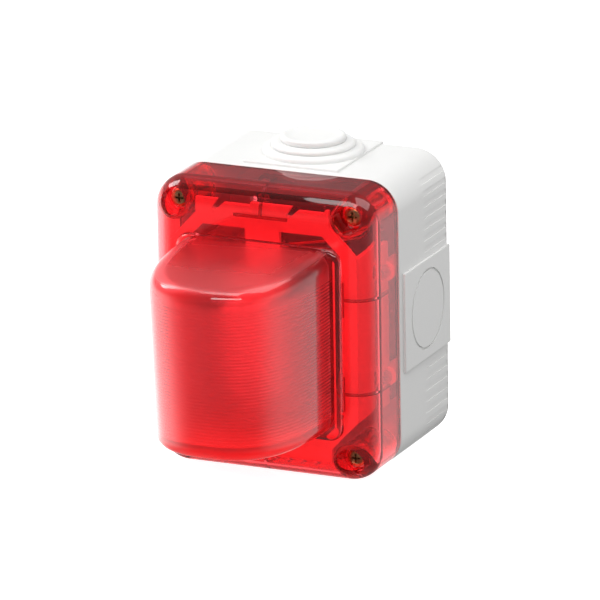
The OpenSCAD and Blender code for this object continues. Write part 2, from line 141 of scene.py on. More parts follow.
CORNERS = [(-1, 1), (1, 1), (-1, -1), (1, -1)]
SIDE_TURN = {"top": 0, "right": 90, "bottom": 180, "left": -90}
UP = Vector((0, 0, 1))


# ---------- mesh helpers ----------

def to_mesh(bm, name):
    """The closed bmesh as a mesh, faces outwards."""
    bmesh.ops.recalc_face_normals(bm, faces=bm.faces)
    mesh = bpy.data.meshes.new(name)
    bm.to_mesh(mesh)
    bm.free()
    return mesh


def combine(base, tool, how):
    """base with tool cut away (DIFFERENCE), added (UNION) or shared (INTERSECT)."""
    held = bpy.data.objects.new("held", base)
    cutter = bpy.data.objects.new("cutter", tool)
    for worker in (held, cutter):
        bpy.context.scene.collection.objects.link(worker)
    step = held.modifiers.new("combine", "BOOLEAN")
    step.object = cutter
    step.operation = how
    step.solver = "MANIFOLD"
    depsgraph = bpy.context.evaluated_depsgraph_get()
    made = bpy.data.meshes.new_from_object(held.evaluated_get(depsgraph))
    made.name = base.name
    for worker in (held, cutter):
        bpy.data.objects.remove(worker)
    return made


def union(*meshes):
    made = meshes[0]
    for mesh in meshes[1:]:
        made = combine(made, mesh, "UNION")
    return made


def cut(base, *tools):
    for tool in tools:
        base = combine(base, tool, "DIFFERENCE")
    return base


def block(low, high):
    """A box from its low to its high corner."""
    bm = bmesh.new()
    bmesh.ops.create_cube(bm, size=1)
    size = Vector(high) - Vector(low)
    bmesh.ops.scale(bm, vec=size, verts=bm.verts)
    bmesh.ops.translate(bm, vec=(Vector(low) + Vector(high)) / 2, verts=bm.verts)
    return to_mesh(bm, "block")


def round_edges(bm, edges, radius, steps):
    bmesh.ops.bevel(bm, geom=edges, offset=radius, offset_type="OFFSET", segments=steps,
                    profile=0.5, affect="EDGES", material=-1, clamp_overlap=False)


def rounded_block(width, height, back, front, corner, edge=0, back_edge=0, middle=0, name="block"):
    """A box along Y from -back to -front, its corners round and, if asked, its front and back edges too."""
    bm = bmesh.new()
    bmesh.ops.create_cube(bm, size=1)
    bmesh.ops.scale(bm, vec=(width, front - back, height), verts=bm.verts)
    bmesh.ops.translate(bm, vec=(0, -(front + back) / 2, middle), verts=bm.verts)
    upright = [e for e in bm.edges if abs(e.verts[0].co.y - e.verts[1].co.y) > MM]
    round_edges(bm, upright, corner, 18)
    for plane, radius in ((-front, edge), (-back, back_edge)):
        if radius:
            rim = [e for e in bm.edges if all(abs(v.co.y - plane) < 0.001 * MM for v in e.verts)]
            round_edges(bm, rim, radius, 14 if radius > 4 * MM else 5)
    return to_mesh(bm, name)


def bar(x, z, back, front, radius):
    """A round bar along Y from -back to -front."""
    bm = bmesh.new()
    bmesh.ops.create_cone(bm, cap_ends=True, segments=64, radius1=radius, radius2=radius,
                          depth=front - back)
    bmesh.ops.rotate(bm, cent=(0, 0, 0), matrix=Matrix.Rotation(math.radians(90), 3, "X"), verts=bm.verts)
    bmesh.ops.translate(bm, vec=(x, -(front + back) / 2, z), verts=bm.verts)
    return to_mesh(bm, "bar")


def together(meshes):
    """Meshes that don't touch, as one mesh."""
    bm = bmesh.new()
    for mesh in meshes:
        bm.from_mesh(mesh)
    return to_mesh(bm, "set")


def at_corners(x, z, back, front, radius):
    """Four equal bars, mirrored left to right and top to bottom."""
    return together([bar(sx * x, sz * z, back, front, radius) for sx, sz in CORNERS])


def spun(profile, axis, centre, name, steps=96):
    """A closed profile of (radius, height) points turned about an axis through centre."""
    bm = bmesh.new()
    side = Vector((1, 0, 0))
    verts = [bm.verts.new(side * r + axis * h) for r, h in profile]
    for a, b in zip(verts, verts[1:]):
        bm.edges.new((a, b))
    bmesh.ops.spin(bm, geom=bm.verts[:] + bm.edges[:], cent=(0, 0, 0), axis=axis,
                   angle=math.radians(360), steps=steps, use_merge=True)
    bmesh.ops.remove_doubles(bm, verts=bm.verts, dist=0.001 * MM)
    bmesh.ops.translate(bm, vec=centre, verts=bm.verts)
    return to_mesh(bm, name)


def lofted(rings, name):
    """A closed form through rings that have the same count of points, its ends filled."""
    bm = bmesh.new()
    loops = []
    for points in rings:
        verts = [bm.verts.new(p) for p in points]
        loops.append([bm.edges.new((verts[i - 1], verts[i])) for i in range(len(verts))])
        if points is rings[0] or points is rings[-1]:
            bm.faces.new(verts)
    for near, far in zip(loops, loops[1:]):
        bmesh.ops.bridge_loops(bm, edges=near + far)
    return to_mesh(bm, name)


def shade_evenly(piece):
    even = piece.modifiers.new("even shading", "WEIGHTED_NORMAL")
    even.keep_sharp = True


def finish_piece(name, mesh, body, material, replaced, sharp=32, weighted=True):
    """The mesh as a piece that rides on a body and stands for a CAD node."""
    mesh.materials.clear()
    mesh.materials.append(material)
    mesh.polygons.foreach_set("use_smooth", [True] * len(mesh.polygons))
    mesh.set_sharp_from_angle(angle=math.radians(sharp))
    piece = bpy.data.objects.new(name, mesh)
    bpy.context.scene.collection.objects.link(piece)
    if weighted:
        shade_evenly(piece)
    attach(piece, body)
    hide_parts(replaced)
    return piece


def softened(node, body, material, width):
    """A copy of a CAD node with its sharp edges rounded to width, shown in the node's place."""
    bm = bmesh.new()
    bm.from_mesh(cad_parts[node].data)
    bmesh.ops.remove_doubles(bm, verts=bm.verts, dist=0.002 * MM)
    bmesh.ops.dissolve_limit(bm, angle_limit=math.radians(0.5), verts=bm.verts, edges=bm.edges)
    mesh = bpy.data.meshes.new(node)
    bm.to_mesh(mesh)
    bm.free()
    piece = finish_piece(node + "_finished", mesh, body, material, node, weighted=False)
    if width:
        bevel = piece.modifiers.new("edges", "BEVEL")
        bevel.width = width
        bevel.segments = 2
        bevel.limit_method = "ANGLE"
        bevel.angle_limit = math.radians(35)
        bevel.harden_normals = False
    shade_evenly(piece)


# ---------- shader groups ----------

def new_group(name, inputs, outputs):
    """An empty shader node group with those sockets, and its input and output nodes."""
    group = bpy.data.node_groups.new(name, "ShaderNodeTree")
    for label, kind, value in inputs:
        socket = group.interface.new_socket(label, in_out="INPUT", socket_type=kind)
        socket.default_value = value
    for label, kind in outputs:
        group.interface.new_socket(label, in_out="OUTPUT", socket_type=kind)
    return group, group.nodes.new("NodeGroupInput"), group.nodes.new("NodeGroupOutput")


def add_node(tree, kind, **settings):
    """A node with its settings; sockets maps an input to the value or the output that it takes."""
    node = tree.nodes.new(kind)
    sockets = settings.pop("sockets", {})
    for key, value in settings.items():
        setattr(node, key, value)
    for key, value in sockets.items():
        if isinstance(value, bpy.types.NodeSocket):
            tree.links.new(value, node.inputs[key])
        else:
            node.inputs[key].default_value = value
    return node


def noise(tree, scale, detail=3, rough=0.5, stretch=None):
    """Noise on Object coordinates, its scale in features per metre."""
    place = add_node(tree, "ShaderNodeTexCoord").outputs["Object"]
    if stretch:
        place = add_node(tree, "ShaderNodeMapping", sockets={"Vector": place, "Scale": stretch}).outputs[0]
    return add_node(tree, "ShaderNodeTexNoise", sockets={
        "Vector": place, "Scale": scale, "Detail": detail, "Roughness": rough}).outputs["Fac"]


def ranged(tree, value, low, high, from_low=0.0, from_high=1.0, smooth=False):
    """A value moved from one range to another, kept within it."""
    return add_node(tree, "ShaderNodeMapRange", interpolation_type="SMOOTHSTEP" if smooth else "LINEAR",
                    sockets={"Value": value, "From Min": from_low, "From Max": from_high,
                             "To Min": low, "To Max": high}).outputs["Result"]


def arithmetic(tree, how, a, b=0.0):
    return add_node(tree, "ShaderNodeMath", operation=how, sockets={0: a, 1: b}).outputs[0]


def mixed(tree, factor, a, b):
    """The colour a turning into b as the factor goes from 0 to 1."""
    node = add_node(tree, "ShaderNodeMix", data_type="RGBA")
    for index, value in ((0, factor), (6, a), (7, b)):
        if isinstance(value, bpy.types.NodeSocket):
            tree.links.new(value, node.inputs[index])
        else:
            node.inputs[index].default_value = value
    return node.outputs[2]


def make_moulded_skin():
    """Moulded plastic: a faint cloudy tone, a fine etched grain and a roughness that wanders."""
    tree, given, gives = new_group(
        "Moulded skin",
        [("Colour", "NodeSocketColor", (0.8, 0.8, 0.8, 1)), ("Tone spread", "NodeSocketFloat", 0.03),
         ("Grain size", "NodeSocketFloat", 2500), ("Grain depth", "NodeSocketFloat", 0.2),
         ("Roughness", "NodeSocketFloat", 0.4), ("Roughness spread", "NodeSocketFloat", 0.08)],
        [("Colour", "NodeSocketColor"), ("Roughness", "NodeSocketFloat"), ("Normal", "NodeSocketVector")])
    clouds = noise(tree, 55, 4, 0.6)
    flow = noise(tree, 16, 2, 0.5)
    grain = noise(tree, 1, 2, 0.6)
    tree.links.new(given.outputs["Grain size"], grain.node.inputs["Scale"])
    lift = arithmetic(tree, "MULTIPLY", ranged(tree, clouds, -1, 1), given.outputs["Tone spread"])
    tone = add_node(tree, "ShaderNodeHueSaturation", sockets={
        "Color": given.outputs["Colour"], "Value": arithmetic(tree, "ADD", lift, 1.0)})
    wander = arithmetic(tree, "MULTIPLY", ranged(tree, flow, -1, 1), given.outputs["Roughness spread"])
    bump = add_node(tree, "ShaderNodeBump", sockets={
        "Strength": given.outputs["Grain depth"], "Distance": 0.03 * MM, "Height": grain})
    tree.links.new(tone.outputs[0], gives.inputs["Colour"])
    tree.links.new(arithmetic(tree, "ADD", wander, given.outputs["Roughness"]), gives.inputs["Roughness"])
    tree.links.new(bump.outputs[0], gives.inputs["Normal"])
    return tree


def make_worked_metal():
    """Metal: fine drawn lines along one way and slight dulling in clouds."""
    tree, given, gives = new_group(
        "Worked metal",
        [("Colour", "NodeSocketColor", (0.7, 0.7, 0.7, 1)),
         ("Dull colour", "NodeSocketColor", (0.4, 0.4, 0.4, 1)),
         ("Dulling", "NodeSocketFloat", 0.4), ("Roughness", "NodeSocketFloat", 0.25),
         ("Line depth", "NodeSocketFloat", 0.3)],
        [("Colour", "NodeSocketColor"), ("Roughness", "NodeSocketFloat"), ("Normal", "NodeSocketVector")])
    clouds = noise(tree, 350, 5, 0.65)
    lines = noise(tree, 900, 2, 0.5, stretch=(8, 0.6, 0.6))
    dull = arithmetic(tree, "MULTIPLY", ranged(tree, clouds, 0, 1, 0.4, 0.75, True), given.outputs["Dulling"])
    tree.links.new(mixed(tree, dull, given.outputs["Colour"], given.outputs["Dull colour"]),
                   gives.inputs["Colour"])
    rough = arithmetic(tree, "ADD", arithmetic(tree, "MULTIPLY", dull, 0.35), given.outputs["Roughness"])
    streaks = ranged(tree, lines, -0.05, 0.05)
    tree.links.new(arithmetic(tree, "ADD", rough, streaks), gives.inputs["Roughness"])
    bump = add_node(tree, "ShaderNodeBump", sockets={
        "Strength": given.outputs["Line depth"], "Distance": 0.01 * MM, "Height": lines})
    tree.links.new(bump.outputs[0], gives.inputs["Normal"])
    return tree


MOULDED = make_moulded_skin()
WORKED = make_worked_metal()


# ---------- materials ----------

def new_material(name):
    """A material with one Principled shader: (material, its node tree, the shader)."""
    material = bpy.data.materials.new(name)
    material.use_nodes = True
    shader = material.node_tree.nodes["Principled BSDF"]
    return material, material.node_tree, shader


def place_group(tree, group, shader, **values):
    """The group in a material, feeding the shader's colour, roughness and normal."""
    node = tree.nodes.new("ShaderNodeGroup")
    node.node_tree = group
    for key, value in values.items():
        node.inputs[key.replace("_", " ")].default_value = value
    tree.links.new(node.outputs["Colour"], shader.inputs["Base Color"])
    tree.links.new(node.outputs["Roughness"], shader.inputs["Roughness"])
    tree.links.new(node.outputs["Normal"], shader.inputs["Normal"])
    return node


def plastic(name, colour, roughness=0.4, grain=2500, depth=0.2, spread=0.03, scatter=0.0):
    material, tree, shader = new_material(name)
    place_group(tree, MOULDED, shader, Colour=(*colour, 1), Tone_spread=spread, Grain_size=grain,
                Grain_depth=depth, Roughness=roughness, Roughness_spread=0.06)
    shader.inputs["IOR"].default_value = 1.5
    if scatter:
        shader.inputs["Subsurface Weight"].default_value = scatter
        shader.inputs["Subsurface Radius"].default_value = (1.0, 0.9, 0.8)
        shader.inputs["Subsurface Scale"].default_value = 0.6 * MM
    return material


def metal(name, colour, dull, dulling=0.4, roughness=0.25, lines=0.3):
    material, tree, shader = new_material(name)
    place_group(tree, WORKED, shader, Colour=(*colour, 1), Dull_colour=(*dull, 1), Dulling=dulling,
                Roughness=roughness, Line_depth=lines)
    shader.inputs["Metallic"].default_value = 1.0
    return material


def clear(name, tint, ior, roughness, waviness, flow_scale, body=0.0):
    """Clear plastic or glass, tinted at each surface; rays from lamps pass straight through, tinted alike.

    Where the mesh has them, its rib-shade attribute paints the stiffeners a deeper red, partly painted shade,
    and its frost attribute makes it milky and rough."""
    material, tree, shader = new_material(name)
    rib = add_node(tree, "ShaderNodeAttribute", attribute_name="rib").outputs["Fac"]
    # Deeper red for the stiffener faces: partly the colour of thicker moulding, partly painted shade.
    deep = tuple(c * c * 0.30 for c in tint)
    frost = add_node(tree, "ShaderNodeAttribute", attribute_name="frost").outputs["Fac"]
    milky = tuple(c + (1 - c) * 0.14 for c in tint)
    base = mixed(tree, frost, (*tint, 1), (*milky, 1))
    tree.links.new(mixed(tree, rib, base, (*deep, 1)), shader.inputs["Base Color"])
    shader.inputs["Transmission Weight"].default_value = 1.0 - body
    shader.inputs["IOR"].default_value = ior
    flow = noise(tree, flow_scale, 3, 0.55)
    specks = noise(tree, 2200, 2, 0.6)
    smooth = ranged(tree, flow, roughness, roughness * 2.2, 0.35, 0.7)
    tree.links.new(arithmetic(tree, "ADD", smooth, arithmetic(tree, "MULTIPLY", frost, 0.45)),
                   shader.inputs["Roughness"])
    soft = add_node(tree, "ShaderNodeBump", sockets={
        "Strength": waviness, "Distance": 0.2 * MM, "Height": flow})
    fine = add_node(tree, "ShaderNodeBump", sockets={
        "Strength": 0.02, "Distance": 0.01 * MM, "Height": specks, "Normal": soft.outputs[0]})
    tree.links.new(fine.outputs[0], shader.inputs["Normal"])
    through = add_node(tree, "ShaderNodeBsdfTransparent", sockets={
        "Color": (*[math.sqrt(c) for c in tint], 1)})
    path = add_node(tree, "ShaderNodeLightPath")
    mix = add_node(tree, "ShaderNodeMixShader", sockets={
        0: path.outputs["Is Shadow Ray"], 1: shader.outputs[0], 2: through.outputs[0]})
    tree.links.new(mix.outputs[0], tree.nodes["Material Output"].inputs["Surface"])
    return material


def centred(tree, node):
    """Object coordinates measured from a node's centre, as outputs X, Y and Z."""
    low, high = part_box(node)
    place = add_node(tree, "ShaderNodeTexCoord").outputs["Object"]
    moved = add_node(tree, "ShaderNodeVectorMath", operation="SUBTRACT",
                     sockets={0: place, 1: tuple((low + high) / 2)}).outputs[0]
    return add_node(tree, "ShaderNodeSeparateXYZ", sockets={0: moved}).outputs


def circuit_board():
    """Green mask over copper: tracks as slightly paler lines, vias as small tinned dots."""
    material, tree, shader = new_material("circuit board")
    place = add_node(tree, "ShaderNodeTexCoord").outputs["Object"]
    flat = add_node(tree, "ShaderNodeMapping", sockets={
        "Vector": place, "Rotation": (math.radians(90), 0, 0)}).outputs[0]
    tracks = add_node(tree, "ShaderNodeTexBrick", sockets={
        "Vector": flat, "Scale": 180, "Mortar Size": 0.035, "Mortar Smooth": 0.1,
        "Color1": (0, 0, 0, 1), "Color2": (0, 0, 0, 1), "Mortar": (1, 1, 1, 1)})
    dots = add_node(tree, "ShaderNodeTexVoronoi", sockets={"Vector": flat, "Scale": 230})
    via = ranged(tree, dots.outputs["Distance"], 1.0, 0.0, 0.10, 0.13)
    keep = ranged(tree, noise(tree, 90, 2), 0.0, 1.0, 0.5, 0.52)
    via = arithmetic(tree, "MULTIPLY", via, keep)
    mask = mixed(tree, tracks.outputs["Color"], (0.010, 0.085, 0.030, 1), (0.020, 0.16, 0.055, 1))
    tree.links.new(mixed(tree, via, mask, (0.62, 0.60, 0.55, 1)), shader.inputs["Base Color"])
    tree.links.new(via, shader.inputs["Metallic"])
    shader.inputs["Roughness"].default_value = 0.3
    height = arithmetic(tree, "ADD", tracks.outputs["Color"], via)
    bump = add_node(tree, "ShaderNodeBump", sockets={
        "Strength": 0.4, "Distance": 0.04 * MM, "Height": height})
    tree.links.new(bump.outputs[0], shader.inputs["Normal"])
    return material


def wound(name, node, colour, shaded_gap, turns, round_axis, metallic):
    """Wire or tape wound on a part: fine lines with painted shade in the grooves between turns, either round an
    axis along Y or level along Z.
    """
    material, tree, shader = new_material(name)
    place = centred(tree, node)
    way = arithmetic(tree, "ARCTAN2", place["Z"], place["X"]) if round_axis else place["Z"]
    phase = arithmetic(tree, "MULTIPLY", way, turns)
    wander = ranged(tree, noise(tree, 400, 2), -0.6, 0.6)
    wave = arithmetic(tree, "SINE", arithmetic(tree, "ADD", phase, wander))
    height = ranged(tree, wave, 0, 1, -1, 1)
    # Painted shade: the colour falls to the shaded gap colour in the grooves between turns and is lit on the
    # crests.
    lit = ranged(tree, height, 0.0, 1.0, 0.05, 0.5, True)
    tree.links.new(mixed(tree, lit, (*shaded_gap, 1), (*colour, 1)), shader.inputs["Base Color"])
    tree.links.new(ranged(tree, noise(tree, 900, 3), 0.2, 0.42), shader.inputs["Roughness"])
    shader.inputs["Metallic"].default_value = metallic
    bump = add_node(tree, "ShaderNodeBump", sockets={
        "Strength": 0.8, "Distance": 0.2 * MM, "Height": height})
    tree.links.new(bump.outputs[0], shader.inputs["Normal"])
    return material


def capacitor_sleeve():
    """A dark shrink sleeve with a pale stripe down one side and bare metal at both ends."""
    material, tree, shader = new_material("capacitor sleeve")
    group = place_group(tree, MOULDED, shader, Colour=(0.012, 0.014, 0.03, 1), Tone_spread=0.15,
                        Grain_size=1500, Grain_depth=0.15, Roughness=0.28, Roughness_spread=0.05)
    place = centred(tree, "capacitor")
    low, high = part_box("capacitor")
    radius = (high.z - low.z) / 2
    bare = (high.y - low.y) / 2 - 0.4 * MM
    stripe = ranged(tree, place["Z"], 0, 1, radius * 0.62, radius * 0.66)
    ends = arithmetic(tree, "GREATER_THAN", arithmetic(tree, "ABSOLUTE", place["Y"]), bare)
    striped = mixed(tree, stripe, group.outputs["Colour"], (0.55, 0.56, 0.58, 1))
    tree.links.new(mixed(tree, ends, striped, (0.5, 0.5, 0.5, 1)), shader.inputs["Base Color"])
    tree.links.new(ends, shader.inputs["Metallic"])
    return material


GREY_HOUSING = plastic("grey housing", (0.80, 0.80, 0.79), 0.42, 2600, 0.18, 0.02)
GASKET = plastic("gasket rubber", (0.030, 0.026, 0.027), 0.75, 1600, 0.5, 0.15)
GLAND_RUBBER = plastic("gland rubber", (0.80, 0.80, 0.79), 0.5, 1800, 0.25, 0.02, scatter=0.2)
WHITE_PLASTIC = plastic("white plastic", (0.86, 0.86, 0.84), 0.38, 2600, 0.15, 0.02)
NYLON = plastic("natural nylon", (0.78, 0.75, 0.66), 0.45, 2200, 0.2, 0.04, scatter=0.3)
BLACK_PLASTIC = plastic("black plastic", (0.02, 0.02, 0.021), 0.42, 2400, 0.4, 0.2)
TERMINAL_GREEN = plastic("terminal green", (0.03, 0.24, 0.10), 0.4, 2400, 0.3, 0.08)
SWITCH_RED = plastic("switch red", (0.52, 0.02, 0.02), 0.35, 2400, 0.2, 0.06)
TRIMMER_BLUE = plastic("trimmer blue", (0.02, 0.10, 0.42), 0.35, 2400, 0.2, 0.06)
LEAD_RED = plastic("red lead", (0.55, 0.02, 0.02), 0.3, 1500, 0.1, 0.06)
LEAD_BLACK = plastic("black lead", (0.02, 0.02, 0.02), 0.3, 1500, 0.1, 0.06)
BRASS = metal("brass", (0.80, 0.58, 0.27), (0.42, 0.28, 0.12))
SCREW_BRASS = metal("screw brass", (0.50, 0.31, 0.15), (0.16, 0.09, 0.05), 0.8, 0.25)
STEEL = metal("zinc steel", (0.66, 0.66, 0.67), (0.42, 0.41, 0.38), 0.35, 0.3)
MIRROR = metal("mirror finish", (0.92, 0.92, 0.93), (0.80, 0.80, 0.80), 0.1, 0.06, 0.05)
BOARD = circuit_board()
# The second colour of each winding is painted shade in the grooves between its turns.
COIL = wound("coil tape", "trigger_coil", (0.80, 0.52, 0.04), (0.52, 0.30, 0.02), 6000, False, 0.0)
CHOKE = wound("copper winding", "choke", (0.78, 0.30, 0.12), (0.10, 0.03, 0.015), 34, True, 1.0)
SLEEVE = capacitor_sleeve()
COVER_RED = clear("clear red", (0.93, 0.105, 0.125), 1.58, 0.012, 0.02, 45, body=0.05)
TUBE_GLASS = clear("tube glass", (0.97, 0.98, 1.0), 1.46, 0.01, 0.05, 300)


# ---------- cover ----------

def lens_ring(z, inset, slope, back):
    """The D outline of the lens at height z, drawn in by inset; it leans by slope, its ends run back."""
    drop = (LENS_TOP - z) / (LENS_TOP + LENS_BOTTOM)
    half = LENS_HALF - inset
    reach = LENS_REACH - LENS_TAPER * drop - inset
    steps = 96
    ring = [Vector((half, -back, z))]
    for i in range(steps + 1):
        turn = math.pi * i / steps
        across, out = abs(math.cos(turn)), math.sin(turn)
        size = ((across / half) ** LENS_POWER + (out / reach) ** LENS_POWER) ** (-1 / LENS_POWER)
        stand = size * out
        ring.append(Vector((size * math.cos(turn), -FACE - stand, z - slope * stand / LENS_REACH)))
    ring.append(Vector((-half, -back, z)))
    return ring


def lens_form(thin, back, ribs=False):
    """The lens as a closed form, drawn in by thin all round, with fine level ribs if asked."""
    top_edge = LENS_TOP_EDGE - thin / 2
    bottom_edge = LENS_BOTTOM_EDGE - thin / 2
    steps = 10
    rings = []
    for i in range(steps + 1):
        turn = math.radians(90) * i / steps
        rings.append(lens_ring(thin - LENS_BOTTOM + bottom_edge * (1 - math.cos(turn)),
                               thin + bottom_edge * (1 - math.sin(turn)), 0, back))
    if ribs:
        per_rib = 6
        count = round((RIB_HIGH - RIB_LOW) / RIB_PITCH) * per_rib
        for i in range(count + 1):
            wave = (1 - math.cos(2 * math.pi * i / per_rib)) / 2
            height = RIB_LOW + (RIB_HIGH - RIB_LOW) * i / count
            rings.append(lens_ring(height, thin + RIB_DEPTH * wave, 0, back))
    for i in range(steps + 1):
        turn = math.radians(90) * (1 - i / steps)
        rings.append(lens_ring(LENS_TOP - thin - top_edge * (1 - math.cos(turn)),
                               thin + top_edge * (1 - math.sin(turn)), LENS_SLOPE, back))
    return lofted(rings, "lens")


def stiffener(at, length, turn, shift=0):
    """A cross-bar at a distance from the middle, and a stem from it that runs out through the wall."""
    half, front = STIFFENER / 2, FACE + 4 * MM
    cross_bar = block((-length / 2, -front, at - half), (length / 2, -FACE + 8 * MM, at + half))
    stem = block((-half, -front, at), (half, -FACE + 20 * MM, at + 12 * MM))
    plates = union(cross_bar, stem)
    plates.transform(Matrix.Translation((0, 0, shift)) @ Matrix.Rotation(math.radians(turn), 4, "Y"))
    return plates


def cover_ribs():
    """The T-shaped stiffeners, which stand in from the inner wall of the cover by a little."""
    made = [stiffener(LEVEL_BAR_Z, LEVEL_BAR_LENGTH, turn) for turn in (0, 180)]
    for turn in (90, -90):
        made += [stiffener(SIDE_BAR_X, SIDE_BAR_LENGTH, turn, z) for z in SIDE_BARS_Z]
    drawn_in = WALL + 0.9 * MM
    inner = rounded_block(BOX_WIDTH - 2 * drawn_in, BOX_HEIGHT - 2 * drawn_in, COVER_BACK - 2 * MM,
                          FACE - drawn_in, CORNER - drawn_in, FACE_EDGE - drawn_in)
    return cut(together(made), inner)


def mark_frost(mesh):
    """Marks the inside of the lens wall, which is lightly frosted below its top rounding."""
    frost = mesh.attributes.new("frost", "FLOAT", "POINT")
    half = LENS_HALF - LENS_WALL
    for vertex, mark in zip(mesh.vertices, frost.data):
        x, y, z = vertex.co
        drop = (LENS_TOP - z) / (LENS_TOP + LENS_BOTTOM)
        reach = LENS_REACH - LENS_TAPER * drop - LENS_WALL
        stand = max(-FACE - y, 0)
        inside = (abs(x) / half) ** LENS_POWER + (stand / reach) ** LENS_POWER < 1.02
        level = 1.0 if z < RIB_HIGH + 2 * MM else 0.6
        mark.value = level if inside and stand > 3 * MM else 0.0


def mark_ribs(mesh):
    """Marks the faces of the stiffeners, which the cover's material paints a deeper red: partly the colour of
    thicker moulding, partly painted shade.
    """
    ribs = mesh.attributes.new("rib", "FLOAT", "FACE")
    near = 0.8 * MM
    hair = 0.02 * MM
    level_half = LEVEL_BAR_LENGTH / 2 + 0.1 * MM
    side_half = SIDE_BAR_LENGTH / 2 + 0.1 * MM
    for face, mark in zip(mesh.polygons, ribs.data):
        x, y, z = face.center
        across, up = abs(x), abs(z)
        away = min(abs(z - at) for at in SIDE_BARS_Z)
        on_level = across < near or (across < level_half and abs(up - LEVEL_BAR_Z) < near)
        on_side = away < near or (away < side_half and across < SIDE_BAR_X + near)
        proud = -FACE + WALL + hair < y < -COVER_BACK - 6 * MM
        top = on_level and LEVEL_BAR_Z - 1.2 * MM < up < BOX_HEIGHT / 2 - WALL - hair
        side = on_side and SIDE_BAR_X - near < across < BOX_WIDTH / 2 - WALL - hair
        mark.value = 1.0 if proud and (top or side) else 0.0


def make_cover():
    """The moulded cover: box part, plinth and hollow lens in one closed wall."""
    plinth_middle = (PLINTH_TOP - PLINTH_BOTTOM) / 2
    outer = union(
        rounded_block(BOX_WIDTH, BOX_HEIGHT, COVER_BACK, FACE, CORNER, FACE_EDGE, name="front_cover"),
        rounded_block(PLINTH_WIDTH, PLINTH_TOP + PLINTH_BOTTOM, FACE - MM, PLINTH_FRONT, PLINTH_CORNER,
                      PLINTH_EDGE, middle=plinth_middle),
        lens_form(0, FACE - 1.5 * MM))
    cavity = rounded_block(BOX_WIDTH - 2 * WALL, BOX_HEIGHT - 2 * WALL, COVER_BACK - MM, FACE - WALL,
                           CORNER - WALL, FACE_EDGE - WALL, name="cavity")
    cavity = cut(cavity, at_corners(SCREW_X, SCREW_Z, COVER_BACK - 2 * MM, FACE + MM, COLUMN), cover_ribs())
    slots = [block((x - SLOT_HALF, -COVER_BACK - 15.5 * MM, -BOX_HEIGHT / 2 - 4 * MM),
                   (x + SLOT_HALF, -COVER_BACK - 4.5 * MM, -BOX_HEIGHT / 2 + 4 * MM))
             for x in [i * SLOT_PITCH for i in range(-SLOTS_EACH_SIDE, SLOTS_EACH_SIDE + 1)]]
    made = cut(outer, cavity,
               lens_form(LENS_WALL, FACE - 4 * MM, ribs=True),
               at_corners(SCREW_X, SCREW_Z, WELL_FLOOR, FACE + 5 * MM, WELL),
               at_corners(SCREW_X, SCREW_Z, WELL_FLOOR - 3 * MM, FACE, PASSAGE),
               at_corners(SCREW_X, SCREW_Z, COVER_BACK - MM, WELL_FLOOR - 2 * MM, WELL - MM),
               together(slots))
    mark_frost(made)
    mark_ribs(made)
    return finish_piece("cover", made, "cover", COVER_RED, "front_cover")


# ---------- back box ----------

def side_distance(direction):
    """How far one side of the box is from its middle line."""
    return (BOX_HEIGHT if direction in ("top", "bottom") else BOX_WIDTH) / 2


def panel(direction):
    """A raised entry panel on one side of the box, its edges rounded a little."""
    half = side_distance(direction)
    bm = bmesh.new()
    bmesh.ops.create_cube(bm, size=1)
    bmesh.ops.scale(bm, vec=(PANEL_WIDTH, PANEL_FRONT, PANEL_HEIGHT + 2 * MM), verts=bm.verts)
    bmesh.ops.translate(bm, vec=(0, -PANEL_FRONT / 2, half + PANEL_HEIGHT / 2 - MM), verts=bm.verts)
    top = half + PANEL_HEIGHT
    rim = [e for e in bm.edges if all(abs(v.co.z - top) < 0.001 * MM for v in e.verts)]
    round_edges(bm, rim, 0.3 * MM, 3)
    turn = Matrix.Rotation(math.radians(SIDE_TURN[direction]), 3, "Y")
    bmesh.ops.rotate(bm, cent=(0, 0, 0), matrix=turn, verts=bm.verts)
    return to_mesh(bm, "panel")


def knockout_ring(direction):
    """The groove round a knock-out, as a ring with a rounded bottom."""
    top = side_distance(direction) + PANEL_HEIGHT
    wide, deep = 0.9 * MM, 0.8 * MM
    profile = [(KNOCKOUT - wide, MM), (KNOCKOUT - wide, -deep * 0.6), (KNOCKOUT - wide * 0.7, -deep),
               (KNOCKOUT - wide * 0.3, -deep), (KNOCKOUT, -deep * 0.6), (KNOCKOUT, MM), (KNOCKOUT - wide, MM)]
    ring = spun(profile, UP, Vector((0, -ENTRY_DEPTH, top)), "ring", 128)
    ring.transform(Matrix.Rotation(math.radians(SIDE_TURN[direction]), 4, "Y"))
    return ring


def rim_groove():
    """The seat of the gasket, cut round the rim with a land left inside it."""
    reach, land_reach = 1.2 * MM, -1.2 * MM
    rim = rounded_block(BOX_WIDTH - WALL + reach, BOX_HEIGHT - WALL + reach, BOX_DEPTH - 1.4 * MM,
                        BOX_DEPTH + MM, CORNER - 0.65 * MM)
    land = rounded_block(BOX_WIDTH - WALL + land_reach, BOX_HEIGHT - WALL + land_reach, BOX_DEPTH - 3 * MM,
                         BOX_DEPTH + 2 * MM, CORNER - 1.85 * MM)
    return cut(rim, land)


def corner_grooves():
    """The shallow grooves that leave fine ribs on the rear corners."""
    rows = [sign * (GROOVE_FIRST + GROOVE_PITCH * i) - GROOVE_HEIGHT / 2
            for sign in (-1, 1) for i in range(GROOVES)]
    slabs = [block((side * 60 * MM - 30 * MM, -24 * MM, z),
                   (side * 60 * MM + 30 * MM, -1.5 * MM, z + GROOVE_HEIGHT))
             for side in (-1, 1) for z in rows]
    core = rounded_block(BOX_WIDTH - 2 * GROOVE_DEPTH, BOX_HEIGHT - 2 * GROOVE_DEPTH, -5 * MM, BOX_DEPTH,
                         CORNER - GROOVE_DEPTH)
    return cut(together(slabs), core)


